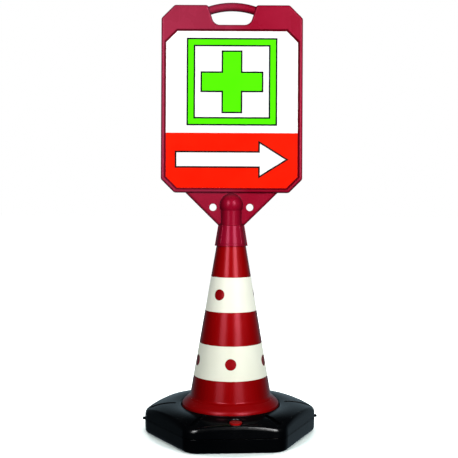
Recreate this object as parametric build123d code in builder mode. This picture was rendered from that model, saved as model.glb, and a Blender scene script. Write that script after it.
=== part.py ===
from build123d import *
import math
import os

os.makedirs("parts", exist_ok=True)

# A portable sign that plugs onto a traffic cone standing in a ballast tank.
# Millimetres, +Z up. The sign faces -Y and the origin is on the floor under the cone's axis.

# Ballast tank, a six-sided ring
TANK_CORNER_RADIUS = 218.5  # to the sharp corner of the hexagon at the moulding line
TANK_CORNER_ROUND = 42.0
TANK_TURN = 4.0  # degrees that the tank stands turned under the loose sign
TANK_DRAFT = 2.5  # degrees
TANK_PARTING_HEIGHT = 34.0
TANK_CREST_HEIGHT = 70.5
TANK_CREST_OFFSET = 22.0  # from the dish's edge out to the crest
TANK_CROWN_ARC = 150.0
TANK_SHOULDER_ROUND = 12.0
TANK_FOOT_ROUND = 8.0
TANK_WALL = 4.0
TANK_LEAST_ROUND = 0.5  # of edges inside the wall
TANK_EDGE_MARGIN = 1.0  # in height, for telling the shoulder's and the foot's edges from the others
DISH_DEPTH = 10.5  # from the crest down to the floor that the cone's skirt stands on
DISH_CLEARANCE = 1.5
DISH_LIP_ROUND = 6.0
SEAM_WIDTH = 1.6  # of the moulding line's groove
SEAM_DEPTH = 0.9
TAB_WIDTH = 9.0
TAB_HEIGHT = 5.0
TAB_REACH = 6.0
TAB_ROUND = 2.0
CREASE_ANGLE = 4.5  # degrees
CREASE_DEPTH = 5.0
CREASE_LENGTH = 64.0
BALLAST_GAP = 0.3
BALLAST_DEPTH = 22.0  # of solid stone, as heavy as loose sand up to the filler neck

# Filler plug, its seal, and the pocket and neck that take them
PLUG_INSET = 20.5  # from the tank's front face to the plug's axis
PLUG_HEAD_RADIUS = 14.5
PLUG_HEAD_HEIGHT = 4.4
PLUG_HEAD_ROUND = 1.0
PLUG_SHANK_RADIUS = 9.8
PLUG_SHANK_LENGTH = 11.0
PLUG_SHANK_WALL = 2.4
PLUG_SLOT_LENGTH = 19.0
PLUG_SLOT_WIDTH = 2.6
PLUG_SLOT_DEPTH = 1.6
SEAL_THICKNESS = 1.5
SEAL_INSET = 0.7
POCKET_DEPTH = 9.0  # from the crest down to the pocket's floor
POCKET_MARGIN = 3.5
POCKET_RIM_ROUND = 3.0
NECK_LENGTH = 16.0
NECK_CLEARANCE = 0.4

# Cone, with heights counted from the dish floor
CONE_FOOT_RADIUS = 106.0  # of the straight cone carried down to the dish floor
CONE_TOP_RADIUS = 29.2
CONE_HEIGHT = 445.0
CONE_WALL = 4.0
SPIGOT_RADIUS = 20.0
SPIGOT_LENGTH = 75.0
SPIGOT_ROUND = 8.0
SKIRT_FLARE = 14.5  # of the rim beyond the straight cone's foot
SKIRT_HEIGHT = 31.5
SKIRT_BLEND = 5.0
RIM_HEIGHT = 13.5
RIM_ROUND = 14.0
TUBE_STEP = 6.0  # from the cone's skin at the skirt's top in to the foot tube
TUBE_WALL = 4.0
TUBE_CLEARANCE = 0.5

# Clamp under the tank that holds the cone's foot tube
CLAMP_FLOOR_GAP = 1.6
CLAMP_RING_THICKNESS = 4.0
CLAMP_RING_LAND = 12.5
CLAMP_RING_GAP = 0.5
SCREW_COUNT = 6
SCREW_RADIUS = 1.7
SCREW_GRIP = 12.0
SCREW_HEAD_RADIUS = 4.0
SCREW_HEAD_HEIGHT = 2.6
SCREW_HEAD_ROUND = 1.3
SCREW_CLEARANCE = 0.2
WASHER_RADIUS = 5.0
WASHER_THICKNESS = 0.8
BOSS_RADIUS = 5.0
BOSS_INSET = 1.0
BOSS_CAP = 8.0
SCREW_END_GAP = 2.0

# White bands let into the cone, with heights counted from the dish floor
UPPER_BAND_FOOT = 242.0
UPPER_BAND_WIDTH = 83.5
LOWER_BAND_FOOT = 81.5
LOWER_BAND_WIDTH = 81.0
BAND_THICKNESS = 1.5
BAND_CLEARANCE = 0.1

# Two-part snap rivets through the bands
UPPER_RIVET_COUNT = 3
UPPER_RIVET_START = -30.0  # degrees from the front towards +X
LOWER_RIVET_COUNT = 5
LOWER_RIVET_START = 0.0  # degrees from the front towards +X
LOWER_RIVET_DROP = 1.3  # under the band's middle
RIVET_HEAD_RADIUS = 13.5
RIVET_SHANK_RADIUS = 4.0
RIVET_CLEARANCE = 0.15
RIVET_CAP_RADIUS = 8.0
RIVET_CAP_THICKNESS = 3.0
RIVET_CAP_CHAMFER = 0.8

# Flanged bush on the spigot
BUSH_WALL = 2.4
BUSH_FLANGE_INSET = 1.9  # from the cone's shoulder edge
BUSH_FLANGE_THICKNESS = 2.0
BUSH_DROP = 4.5  # of its top under the middle of the socket's dome
FIT_CLEARANCE = 0.1

# Sign socket
SOCKET_WALL = 4.6
DOME_SWELL = 3.4  # of the dome beyond the neck
DOME_DROP = 17.0  # of the dome's middle under the spigot's top
COLLAR_DROP = 45.5  # from the bush's flange down to the collar's foot
COLLAR_RISE = 6.0  # from the bush's flange up to the collar's top
COLLAR_ROUND = 2.0
COLLAR_WALL = 2.3
COLLAR_CLEARANCE = 0.7
COLLAR_GROOVE_RISE = 5.5  # from the collar's foot up to the groove's middle
COLLAR_GROOVE_WIDTH = 1.2
COLLAR_GROOVE_DEPTH = 0.8
FIN_TOP_REACH = 0.5
FIN_FOOT_REACH = 1.5
FIN_THICKNESS = 6.0
FIN_ROUND = 0.7
RIB_ANGLE = 43.0  # degrees from the front and from the back
RIB_REACH = 0.7
RIB_THICKNESS = 2.0
RIB_ROUND = 0.6
WEB_TOP_WIDTH = 231.0
WEB_FOOT_WIDTH = 66.0
WEB_ROOT = 6.0  # height of the web's root inside the board
WEB_FOOT_RISE = 5.5  # over the bush's flange
WEB_THICKNESS = 18.0
WEB_EDGE_ROUND = 8.0
WEB_HOLE_RADIUS = 9.0
WEB_HOLE_ROUND = 1.2
WEB_HOLE_SPACING = 92.0
WEB_HOLE_DROP = 36.7  # under the board's foot

# Sign board with its carry handle
BOARD_GAP = 0.1  # from the dome up to the board's foot
BOARD_WIDTH = 351.6
BOARD_HEIGHT = 465.8
BOARD_THICKNESS = 36.0
BOARD_CORNER = 33.0
BOARD_CORNER_ROUND = 9.0
BOARD_EDGE_ROUND = 6.0
BOARD_SEAM_WIDTH = 1.2
BOARD_SEAM_REACH = 0.4
BOARD_WALL = 3.0
NOTCH_DEPTH = 49.1
NOTCH_FLOOR_WIDTH = 90.0
NOTCH_FLOOR_ROUND = 20.0
NOTCH_MOUTH_WIDTH = 120.0
NOTCH_MOUTH_ROUND = 8.0
HANDLE_ARC = 178.0
HANDLE_DROP = 1.7  # of the crown of the bar's axis under the board's top edge
HANDLE_HEIGHT = 21.0
HANDLE_DEPTH = 24.0
HANDLE_ROOT = 6.0  # length of each end of the bar inside the board

# Printed sheets in the board's recesses
PRINT_SIDE_MARGIN = 12.3
PRINT_FOOT_MARGIN = 11.3
PRINT_NOTCH_MARGIN = 16.2
PRINT_CORNER_EASE = 5.0  # by which the print's corner cut is smaller than the board's
PRINT_THICKNESS = 1.2
PRINT_GAP = 0.3
RECESS_DEPTH = 4.5
RECESS_BEVEL = 4.6

# Places worked out from the sizes above
cos_30 = math.cos(math.pi / 6)
dish_height = TANK_CREST_HEIGHT - DISH_DEPTH
cone_slope = (CONE_FOOT_RADIUS - CONE_TOP_RADIUS) / CONE_HEIGHT
cone_tilt = math.atan(cone_slope)
skirt_radius = CONE_FOOT_RADIUS + SKIRT_FLARE
skirt_top = dish_height + SKIRT_HEIGHT
rim_top = dish_height + RIM_HEIGHT
tube_radius = CONE_FOOT_RADIUS - SKIRT_HEIGHT * cone_slope - TUBE_STEP
dish_radius = skirt_radius + DISH_CLEARANCE
crest_radius = dish_radius + TANK_CREST_OFFSET
tank_bore = tube_radius + TUBE_CLEARANCE
tank_apothem = TANK_CORNER_RADIUS * cos_30
tank_corner_reach = TANK_CORNER_RADIUS - TANK_CORNER_ROUND * (1 / cos_30 - 1)
clamp_ring_outer = tank_bore + CLAMP_RING_LAND
clamp_pocket = clamp_ring_outer + CLAMP_RING_GAP
head_top = CLAMP_FLOOR_GAP + SCREW_HEAD_HEIGHT
ring_foot = head_top + WASHER_THICKNESS
clamp_ledge = ring_foot + CLAMP_RING_THICKNESS
boss_orbit = tube_radius - BOSS_INSET - BOSS_RADIUS
clamp_ring_inner = boss_orbit - BOSS_RADIUS
pocket_floor = TANK_CREST_HEIGHT - POCKET_DEPTH
pocket_radius = PLUG_HEAD_RADIUS + POCKET_MARGIN
neck_bore = PLUG_SHANK_RADIUS + NECK_CLEARANCE
neck_foot = pocket_floor - NECK_LENGTH
plug_orbit = tank_apothem - PLUG_INSET
plug_x = plug_orbit * math.sin(math.radians(TANK_TURN))
plug_y = -plug_orbit * math.cos(math.radians(TANK_TURN))
shoulder_height = dish_height + CONE_HEIGHT
spigot_top = shoulder_height + SPIGOT_LENGTH
seat_height = shoulder_height + BUSH_FLANGE_THICKNESS
bush_bore = SPIGOT_RADIUS + FIT_CLEARANCE
bush_radius = bush_bore + BUSH_WALL
bush_flange_radius = CONE_TOP_RADIUS - BUSH_FLANGE_INSET
socket_bore = bush_radius + FIT_CLEARANCE
socket_radius = socket_bore + SOCKET_WALL
dome_radius = socket_radius + DOME_SWELL
dome_height = spigot_top - DOME_DROP
collar_foot = seat_height - COLLAR_DROP
collar_top = seat_height + COLLAR_RISE
groove_foot = collar_foot + COLLAR_GROOVE_RISE - COLLAR_GROOVE_WIDTH / 2
web_foot = seat_height + WEB_FOOT_RISE
board_foot = dome_height + dome_radius + BOARD_GAP
board_top = board_foot + BOARD_HEIGHT
web_spread = (WEB_TOP_WIDTH - WEB_FOOT_WIDTH) / (board_foot - web_foot)
web_root_width = WEB_TOP_WIDTH + WEB_ROOT * web_spread
hole_height = board_foot - WEB_HOLE_DROP
board_face = BOARD_THICKNESS / 2
recess_floor = board_face - RECESS_DEPTH


def cone_radius(height):
    """Outer radius of the straight cone at a height over the floor."""
    return CONE_FOOT_RADIUS - (height - dish_height) * cone_slope


def crown_height(radius, inset):
    """Height of the tank's crowned top at a radius, lowered square to it by an inset."""
    arc = TANK_CROWN_ARC - inset
    drop = TANK_CROWN_ARC - math.sqrt(arc**2 - (radius - crest_radius) ** 2)
    return TANK_CREST_HEIGHT - drop


def crown_point(radius, inset):
    """Point of the crowned top's section at a radius."""
    return (radius, crown_height(radius, inset))


def reach(edge):
    """Distance of an edge's middle from the Z axis."""
    middle = edge @ 0.5
    return math.hypot(middle.X, middle.Y)


def ring_edge(part, height):
    """Widest circular edge of a part at a height."""
    level = part.edges().filter_by(GeomType.CIRCLE).filter_by_position(Axis.Z, height, height)
    return level.sort_by(SortBy.RADIUS)[-1]


def turned(points, mode=Mode.ADD):
    """Turn a closed outline of (radius, height) points about the Z axis."""
    with BuildSketch(Plane.XZ) as outline:
        with BuildLine():
            Polyline(*points, close=True)
        make_face()
    revolve(outline.sketch, axis=Axis.Z, mode=mode)


def tank_form(inset, bore):
    """Six-sided ring with a crowned top and rounded edges, drawn in all round by an inset."""
    far = TANK_CORNER_RADIUS + TAB_REACH
    lip = dish_radius + inset
    floor = dish_height - inset
    with BuildPart() as form:
        with BuildSketch(Plane.XY.offset(TANK_PARTING_HEIGHT)) as hexagon:
            RegularPolygon(TANK_CORNER_RADIUS - inset / cos_30, 6, rotation=TANK_TURN)
            fillet(hexagon.vertices(), TANK_CORNER_ROUND - inset)
        extrude(amount=TANK_CREST_HEIGHT, both=True, taper=TANK_DRAFT)
        with BuildSketch(Plane.XZ) as section:
            with BuildLine():
                Polyline(crown_point(lip, inset), (lip, floor), (bore, floor), (bore, inset))
                Polyline((bore, inset), (far, inset), crown_point(far, inset))
                ThreePointArc(
                    crown_point(far, inset),
                    crown_point((far + lip) / 2, inset),
                    crown_point(lip, inset),
                )
            make_face()
            fillet(section.vertices().sort_by_distance(crown_point(lip, inset))[0], DISH_LIP_ROUND)
        revolve(axis=Axis.Z, mode=Mode.INTERSECT)
        outer = form.edges().filter_by(lambda edge: reach(edge) > crest_radius)
        over_seam = TANK_PARTING_HEIGHT + TANK_EDGE_MARGIN
        shoulder = outer.filter_by(lambda edge: edge.bounding_box().min.Z > over_seam)
        fillet(shoulder, max(TANK_SHOULDER_ROUND - inset, TANK_LEAST_ROUND))
        foot = outer.filter_by(lambda edge: edge.bounding_box().max.Z < inset + TANK_EDGE_MARGIN)
        fillet(foot, max(TANK_FOOT_ROUND - inset, TANK_LEAST_ROUND))
    return form.part


def corner_creases(margin):
    """Six wedges along the corners of the crowned top, grown by a margin on their inner sides."""
    end = tank_corner_reach - TANK_SHOULDER_ROUND + margin
    start = tank_corner_reach - TANK_SHOULDER_ROUND - CREASE_LENGTH - margin
    depth = CREASE_DEPTH + margin
    angle = CREASE_ANGLE + 2 * math.degrees(margin / start)
    with BuildPart() as wedge:
        with BuildSketch(Plane.XZ):
            with BuildLine():
                ThreePointArc(
                    crown_point(start, depth),
                    crown_point((start + end) / 2, depth),
                    crown_point(end, depth),
                )
                Polyline(
                    crown_point(end, depth),
                    (end, TANK_CREST_HEIGHT + depth),
                    (start, TANK_CREST_HEIGHT + depth),
                    crown_point(start, depth),
                )
            make_face()
        revolve(axis=Axis.Z, revolution_arc=angle)
    with BuildPart() as creases:
        with PolarLocations(0, 6, start_angle=TANK_TURN - angle / 2):
            add(wedge.part)
    return creases.part


# Base tank: hollow form, moulding line, pinch-off tabs, corner creases, filler pocket and neck
with BuildPart() as tank_hollow:
    add(tank_form(TANK_WALL, clamp_pocket + TANK_WALL))
    add(corner_creases(TANK_WALL), mode=Mode.SUBTRACT)
    with BuildSketch(Plane((plug_x, plug_y, pocket_floor - TANK_WALL))):
        Circle(pocket_radius + TANK_WALL)
    extrude(amount=TANK_CREST_HEIGHT, mode=Mode.SUBTRACT)
    with BuildSketch(Plane((plug_x, plug_y, neck_foot))):
        Circle(neck_bore + TANK_WALL)
    extrude(amount=TANK_CREST_HEIGHT, mode=Mode.SUBTRACT)

with BuildPart() as base_tank:
    add(tank_form(0.0, tank_bore))
    with BuildSketch(Plane.XY.offset(TANK_PARTING_HEIGHT - SEAM_WIDTH / 2)) as seam_floor:
        RegularPolygon(TANK_CORNER_RADIUS - SEAM_DEPTH / cos_30, 6, rotation=TANK_TURN)
        fillet(seam_floor.vertices(), TANK_CORNER_ROUND - SEAM_DEPTH)
    with BuildSketch(Plane.XY.offset(TANK_PARTING_HEIGHT - SEAM_WIDTH / 2)):
        Circle(TANK_CORNER_RADIUS)
        add(seam_floor.sketch_local, mode=Mode.SUBTRACT)
    extrude(amount=SEAM_WIDTH, mode=Mode.SUBTRACT)
    with BuildSketch(Plane.XY.offset(TANK_PARTING_HEIGHT - TAB_HEIGHT / 2)):
        tab_length = TAB_REACH + TANK_WALL
        with PolarLocations(tank_corner_reach + TAB_REACH - tab_length / 2, 2, start_angle=TANK_TURN):
            RectangleRounded(tab_length, TAB_WIDTH, TAB_ROUND)
    extrude(amount=TAB_HEIGHT)
    add(corner_creases(0.0), mode=Mode.SUBTRACT)
    with BuildSketch(Plane.XY):
        Circle(clamp_pocket)
    extrude(amount=clamp_ledge, mode=Mode.SUBTRACT)
    add(tank_hollow.part, mode=Mode.SUBTRACT)
    with BuildSketch(Plane((plug_x, plug_y, 0), x_dir=(1, 0, 0), z_dir=(0, -1, 0))):
        with BuildLine():
            Polyline(
                (pocket_radius + POCKET_RIM_ROUND, TANK_CREST_HEIGHT),
                (0, TANK_CREST_HEIGHT),
                (0, pocket_floor),
                (pocket_radius, pocket_floor),
                (pocket_radius, TANK_CREST_HEIGHT - POCKET_RIM_ROUND),
            )
            TangentArc(
                (pocket_radius, TANK_CREST_HEIGHT - POCKET_RIM_ROUND),
                (pocket_radius + POCKET_RIM_ROUND, TANK_CREST_HEIGHT),
                tangent=(0, 1),
            )
        make_face()
    revolve(axis=Axis((plug_x, plug_y, 0), (0, 0, 1)), mode=Mode.SUBTRACT)
    with BuildSketch(Plane((plug_x, plug_y, neck_foot - TANK_WALL))):
        Circle(neck_bore)
    extrude(amount=TANK_CREST_HEIGHT, mode=Mode.SUBTRACT)
base_tank.part.label = "base_tank"
export_step(base_tank.part, "parts/base_tank.step")

# Ballast lying on the tank's floor
with BuildPart() as ballast:
    add(tank_form(TANK_WALL + BALLAST_GAP, clamp_pocket + TANK_WALL + BALLAST_GAP))
    split(bisect_by=Plane.XY.offset(TANK_WALL + BALLAST_GAP + BALLAST_DEPTH), keep=Keep.BOTTOM)
ballast.part.label = "ballast"
export_step(ballast.part, "parts/ballast.step")

# Seal under the plug's head
with BuildPart() as plug_seal:
    with BuildSketch(Plane((plug_x, plug_y, pocket_floor))):
        Circle(PLUG_HEAD_RADIUS - SEAL_INSET)
        Circle(neck_bore, mode=Mode.SUBTRACT)
    extrude(amount=SEAL_THICKNESS)
plug_seal.part.label = "plug_seal"
export_step(plug_seal.part, "parts/plug_seal.step")

# Filler plug: a slotted head on a hollow shank
with BuildPart() as filler_plug:
    head_plane = Plane(
        (plug_x, plug_y, pocket_floor + SEAL_THICKNESS), x_dir=(-plug_y, plug_x, 0), z_dir=(0, 0, 1)
    )
    with BuildSketch(head_plane):
        Circle(PLUG_HEAD_RADIUS)
    extrude(amount=PLUG_HEAD_HEIGHT)
    fillet(filler_plug.edges().group_by(Axis.Z)[-1], PLUG_HEAD_ROUND)
    with BuildSketch(head_plane):
        Circle(PLUG_SHANK_RADIUS)
        Circle(PLUG_SHANK_RADIUS - PLUG_SHANK_WALL, mode=Mode.SUBTRACT)
    extrude(amount=-PLUG_SHANK_LENGTH)
    with BuildSketch(head_plane.offset(PLUG_HEAD_HEIGHT)):
        SlotOverall(PLUG_SLOT_LENGTH, PLUG_SLOT_WIDTH)
    extrude(amount=-PLUG_SLOT_DEPTH, mode=Mode.SUBTRACT)
filler_plug.part.label = "filler_plug"
export_step(filler_plug.part, "parts/filler_plug.step")


def band_outline(foot, width, depth, margin):
    """Section of a ring let into the cone's skin to a depth, with a margin on its other sides."""
    bottom = dish_height + foot - margin
    top = dish_height + foot + width + margin
    return [
        (cone_radius(bottom) - depth, bottom),
        (cone_radius(bottom) + margin, bottom),
        (cone_radius(top) + margin, top),
        (cone_radius(top) - depth, top),
    ]


def rivet_planes(count, start, height):
    """Planes on the cone's skin at each rivet, square to the skin and facing outwards."""
    radius = cone_radius(height)
    planes = []
    for index in range(count):
        angle = math.radians(start + index * 360 / count)
        across = math.sin(angle)
        along = -math.cos(angle)
        normal = (across * math.cos(cone_tilt), along * math.cos(cone_tilt), math.sin(cone_tilt))
        planes.append(Plane((radius * across, radius * along, height), z_dir=normal))
    return planes


upper_rivet_height = dish_height + UPPER_BAND_FOOT + UPPER_BAND_WIDTH / 2
lower_rivet_height = dish_height + LOWER_BAND_FOOT + LOWER_BAND_WIDTH / 2 - LOWER_RIVET_DROP
upper_rivet_planes = rivet_planes(UPPER_RIVET_COUNT, UPPER_RIVET_START, upper_rivet_height)
lower_rivet_planes = rivet_planes(LOWER_RIVET_COUNT, LOWER_RIVET_START, lower_rivet_height)

# Cone: straight wall, flared skirt, foot tube with screw bosses, and spigot
with BuildPart() as cone_body:
    wall_foot = skirt_top - CONE_WALL
    turned(
        [
            (cone_radius(wall_foot) - CONE_WALL, wall_foot),
            (cone_radius(wall_foot), wall_foot),
            (CONE_TOP_RADIUS, shoulder_height),
            (CONE_TOP_RADIUS - CONE_WALL, shoulder_height),
        ]
    )
    turned(
        [
            (skirt_radius - CONE_WALL, dish_height),
            (skirt_radius, dish_height),
            (skirt_radius, rim_top),
            (cone_radius(skirt_top), skirt_top),
            (cone_radius(skirt_top) - CONE_WALL, skirt_top),
            (skirt_radius - CONE_WALL, rim_top),
        ]
    )
    fillet(ring_edge(cone_body, rim_top), RIM_ROUND)
    fillet(ring_edge(cone_body, skirt_top), SKIRT_BLEND)
    turned(
        [
            (tube_radius - TUBE_WALL, clamp_ledge),
            (tube_radius, clamp_ledge),
            (tube_radius, wall_foot),
            (cone_radius(skirt_top) - CONE_WALL / 2, wall_foot),
            (cone_radius(skirt_top) - CONE_WALL / 2, skirt_top),
            (tube_radius - TUBE_WALL, skirt_top),
        ]
    )
    turned(
        [
            (SPIGOT_RADIUS - CONE_WALL, shoulder_height - CONE_WALL),
            (CONE_TOP_RADIUS - CONE_WALL / 2, shoulder_height - CONE_WALL),
            (CONE_TOP_RADIUS - CONE_WALL / 2, shoulder_height),
            (SPIGOT_RADIUS, shoulder_height),
            (SPIGOT_RADIUS, spigot_top),
            (0, spigot_top),
            (0, spigot_top - CONE_WALL),
            (SPIGOT_RADIUS - CONE_WALL, spigot_top - CONE_WALL),
        ]
    )
    fillet(ring_edge(cone_body, spigot_top), SPIGOT_ROUND)
    seat_depth = BAND_THICKNESS + BAND_CLEARANCE
    turned(band_outline(UPPER_BAND_FOOT, UPPER_BAND_WIDTH, seat_depth, BAND_CLEARANCE), Mode.SUBTRACT)
    turned(band_outline(LOWER_BAND_FOOT, LOWER_BAND_WIDTH, seat_depth, BAND_CLEARANCE), Mode.SUBTRACT)
    for plane in upper_rivet_planes + lower_rivet_planes:
        with BuildSketch(plane):
            Circle(RIVET_SHANK_RADIUS + RIVET_CLEARANCE)
        extrude(amount=-2 * CONE_WALL, mode=Mode.SUBTRACT)
    with BuildSketch(Plane.XY.offset(clamp_ledge)):
        with PolarLocations(boss_orbit, SCREW_COUNT, start_angle=TANK_TURN):
            Circle(BOSS_RADIUS)
    extrude(amount=SCREW_GRIP + BOSS_CAP)
    with BuildSketch(Plane.XY.offset(clamp_ledge)):
        with PolarLocations(boss_orbit, SCREW_COUNT, start_angle=TANK_TURN):
            Circle(SCREW_RADIUS + FIT_CLEARANCE)
    extrude(amount=SCREW_GRIP + SCREW_END_GAP, mode=Mode.SUBTRACT)
cone_body.part.label = "cone_body"
export_step(cone_body.part, "parts/cone_body.step")

# Clamp ring under the tank, with its washers and screws
with BuildPart() as clamp_ring:
    with BuildSketch(Plane.XY.offset(ring_foot)):
        Circle(clamp_ring_outer)
        Circle(clamp_ring_inner, mode=Mode.SUBTRACT)
        with PolarLocations(boss_orbit, SCREW_COUNT, start_angle=TANK_TURN):
            Circle(SCREW_RADIUS + SCREW_CLEARANCE, mode=Mode.SUBTRACT)
    extrude(amount=CLAMP_RING_THICKNESS)
clamp_ring.part.label = "clamp_ring"
export_step(clamp_ring.part, "parts/clamp_ring.step")

with BuildPart() as clamp_washers:
    with BuildSketch(Plane.XY.offset(head_top)):
        with PolarLocations(boss_orbit, SCREW_COUNT, start_angle=TANK_TURN):
            Circle(WASHER_RADIUS)
            Circle(SCREW_RADIUS + SCREW_CLEARANCE, mode=Mode.SUBTRACT)
    extrude(amount=WASHER_THICKNESS)
clamp_washers.part.label = "clamp_washers"
export_step(clamp_washers.part, "parts/clamp_washers.step")

with BuildPart() as clamp_screws:
    with BuildSketch(Plane.XY.offset(CLAMP_FLOOR_GAP)):
        with PolarLocations(boss_orbit, SCREW_COUNT, start_angle=TANK_TURN):
            Circle(SCREW_HEAD_RADIUS)
    extrude(amount=SCREW_HEAD_HEIGHT)
    fillet(clamp_screws.edges().group_by(Axis.Z)[0], SCREW_HEAD_ROUND)
    with BuildSketch(Plane.XY.offset(head_top)):
        with PolarLocations(boss_orbit, SCREW_COUNT, start_angle=TANK_TURN):
            Circle(SCREW_RADIUS)
    extrude(amount=clamp_ledge + SCREW_GRIP - head_top)
clamp_screws.part.label = "clamp_screws"
export_step(clamp_screws.part, "parts/clamp_screws.step")


def band_shell(foot, width):
    """Plain ring of a band, flush with the cone's skin."""
    with BuildPart() as shell:
        turned(band_outline(foot, width, BAND_THICKNESS, 0.0))
    return shell.part


def pierced_band(shell, planes):
    """Band with a round hole for each rivet head."""
    with BuildPart() as band:
        add(shell)
        for plane in planes:
            with BuildSketch(plane) as hole:
                Circle(RIVET_HEAD_RADIUS + RIVET_CLEARANCE)
            extrude(hole.sketch, amount=2 * CONE_WALL, both=True, mode=Mode.SUBTRACT)
    return band.part


def cap_depth(height):
    """Depth under the cone's skin at which a flat cap lies clear of the hollow inner wall."""
    hollow_radius = cone_radius(height) - CONE_WALL
    return CONE_WALL + RIVET_CAP_RADIUS**2 / (2 * hollow_radius) + BAND_CLEARANCE


def snap_rivet(shell, plane, height):
    """Rivet whose head fills its hole in the band and whose shank passes the cone's wall."""
    with BuildPart() as rivet:
        with BuildSketch(plane) as head:
            Circle(RIVET_HEAD_RADIUS)
        extrude(head.sketch, amount=2 * CONE_WALL, both=True)
        add(shell, mode=Mode.INTERSECT)
        with BuildSketch(plane.offset(-BAND_THICKNESS / 2)) as shank:
            Circle(RIVET_SHANK_RADIUS)
        extrude(shank.sketch, amount=BAND_THICKNESS / 2 - cap_depth(height) - RIVET_CAP_THICKNESS)
    return rivet.part


def rivet_cap(plane, height):
    """Round cap that snaps onto the rivet's shank inside the cone."""
    with BuildPart() as cap:
        with BuildSketch(plane.offset(-cap_depth(height))) as disc:
            Circle(RIVET_CAP_RADIUS)
        extrude(disc.sketch, amount=-RIVET_CAP_THICKNESS)
        chamfer(cap.faces().sort_by(Axis(plane.origin, plane.z_dir))[0].edges(), RIVET_CAP_CHAMFER)
        with BuildSketch(plane) as bore:
            Circle(RIVET_SHANK_RADIUS + FIT_CLEARANCE)
        extrude(bore.sketch, amount=-2 * (cap_depth(height) + RIVET_CAP_THICKNESS), mode=Mode.SUBTRACT)
    return cap.part


# White bands with their rivets and caps
upper_shell = band_shell(UPPER_BAND_FOOT, UPPER_BAND_WIDTH)
lower_shell = band_shell(LOWER_BAND_FOOT, LOWER_BAND_WIDTH)

with BuildPart() as upper_band:
    add(pierced_band(upper_shell, upper_rivet_planes))
upper_band.part.label = "upper_band"
export_step(upper_band.part, "parts/upper_band.step")

with BuildPart() as lower_band:
    add(pierced_band(lower_shell, lower_rivet_planes))
lower_band.part.label = "lower_band"
export_step(lower_band.part, "parts/lower_band.step")

with BuildPart() as upper_rivets:
    for plane in upper_rivet_planes:
        add(snap_rivet(upper_shell, plane, upper_rivet_height))
upper_rivets.part.label = "upper_rivets"
export_step(upper_rivets.part, "parts/upper_rivets.step")

with BuildPart() as lower_rivets:
    for plane in lower_rivet_planes:
        add(snap_rivet(lower_shell, plane, lower_rivet_height))
lower_rivets.part.label = "lower_rivets"
export_step(lower_rivets.part, "parts/lower_rivets.step")

with BuildPart() as upper_rivet_caps:
    for plane in upper_rivet_planes:
        add(rivet_cap(plane, upper_rivet_height))
upper_rivet_caps.part.label = "upper_rivet_caps"
export_step(upper_rivet_caps.part, "parts/upper_rivet_caps.step")

with BuildPart() as lower_rivet_caps:
    for plane in lower_rivet_planes:
        add(rivet_cap(plane, lower_rivet_height))
lower_rivet_caps.part.label = "lower_rivet_caps"
export_step(lower_rivet_caps.part, "parts/lower_rivet_caps.step")

# Flanged bush on the spigot
with BuildPart() as socket_bush:
    turned(
        [
            (bush_bore, shoulder_height),
            (bush_flange_radius, shoulder_height),
            (bush_flange_radius, seat_height),
            (bush_radius, seat_height),
            (bush_radius, dome_height - BUSH_DROP),
            (bush_bore, dome_height - BUSH_DROP),
        ]
    )
socket_bush.part.label = "socket_bush"
export_step(socket_bush.part, "parts/socket_bush.step")


def collar_radius(height):
    """Outer radius of the socket's collar, which follows the cone."""
    return cone_radius(height) + COLLAR_CLEARANCE + COLLAR_WALL


def is_hole_rim(edge):
    """Whether an edge is the rim of one of the web's holes."""
    height = edge.arc_center.Z
    return abs(edge.radius - WEB_HOLE_RADIUS) < FIT_CLEARANCE and abs(height - hole_height) < FIT_CLEARANCE


def print_outline(grow):
    """Corner points of the print's eight-sided outline, grown all round."""
    half = BOARD_WIDTH / 2 - PRINT_SIDE_MARGIN + grow
    low = board_foot + PRINT_FOOT_MARGIN - grow
    high = board_top - NOTCH_DEPTH - PRINT_NOTCH_MARGIN + grow
    cut = BOARD_CORNER - PRINT_CORNER_EASE + grow * (2 - math.sqrt(2))
    return [
        (half - cut, low),
        (half, low + cut),
        (half, high - cut),
        (half - cut, high),
        (cut - half, high),
        (-half, high - cut),
        (-half, low + cut),
        (cut - half, low),
    ]


def print_face(depth, grow):
    """Face of the print's outline at a depth in front of the board's middle plane."""
    with BuildSketch(Plane.XZ.offset(depth)) as face:
        with BuildLine():
            Polyline(*print_outline(grow), close=True)
        make_face()
    return face.sketch


def flat_plate(points, thickness, edge_round):
    """Upright plate about the board's middle plane with rounded edges."""
    with BuildPart() as plate:
        with BuildSketch(Plane.XZ) as outline:
            with BuildLine():
                Polyline(*points, close=True)
            make_face()
        extrude(outline.sketch, amount=thickness / 2, both=True)
        front_to_back = plate.faces().sort_by(Axis.Y)
        fillet(front_to_back[0].edges() + front_to_back[-1].edges(), edge_round)
    return plate.part


# Sign body: board with carry handle and print recesses, web with two holes, and socket
with BuildSketch(Plane.XZ) as board_outline:
    half_board = BOARD_WIDTH / 2
    with BuildLine():
        FilletPolyline(
            (BOARD_CORNER - half_board, board_foot),
            (half_board - BOARD_CORNER, board_foot),
            (half_board, board_foot + BOARD_CORNER),
            (half_board, board_top - BOARD_CORNER),
            (half_board - BOARD_CORNER, board_top),
            (NOTCH_MOUTH_WIDTH / 2, board_top),
            (NOTCH_FLOOR_WIDTH / 2, board_top - NOTCH_DEPTH),
            (-NOTCH_FLOOR_WIDTH / 2, board_top - NOTCH_DEPTH),
            (-NOTCH_MOUTH_WIDTH / 2, board_top),
            (BOARD_CORNER - half_board, board_top),
            (-half_board, board_top - BOARD_CORNER),
            (-half_board, board_foot + BOARD_CORNER),
            radius=[BOARD_CORNER_ROUND] * 5
            + [NOTCH_MOUTH_ROUND, NOTCH_FLOOR_ROUND, NOTCH_FLOOR_ROUND, NOTCH_MOUTH_ROUND]
            + [BOARD_CORNER_ROUND] * 3,
            close=True,
        )
    make_face()

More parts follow.
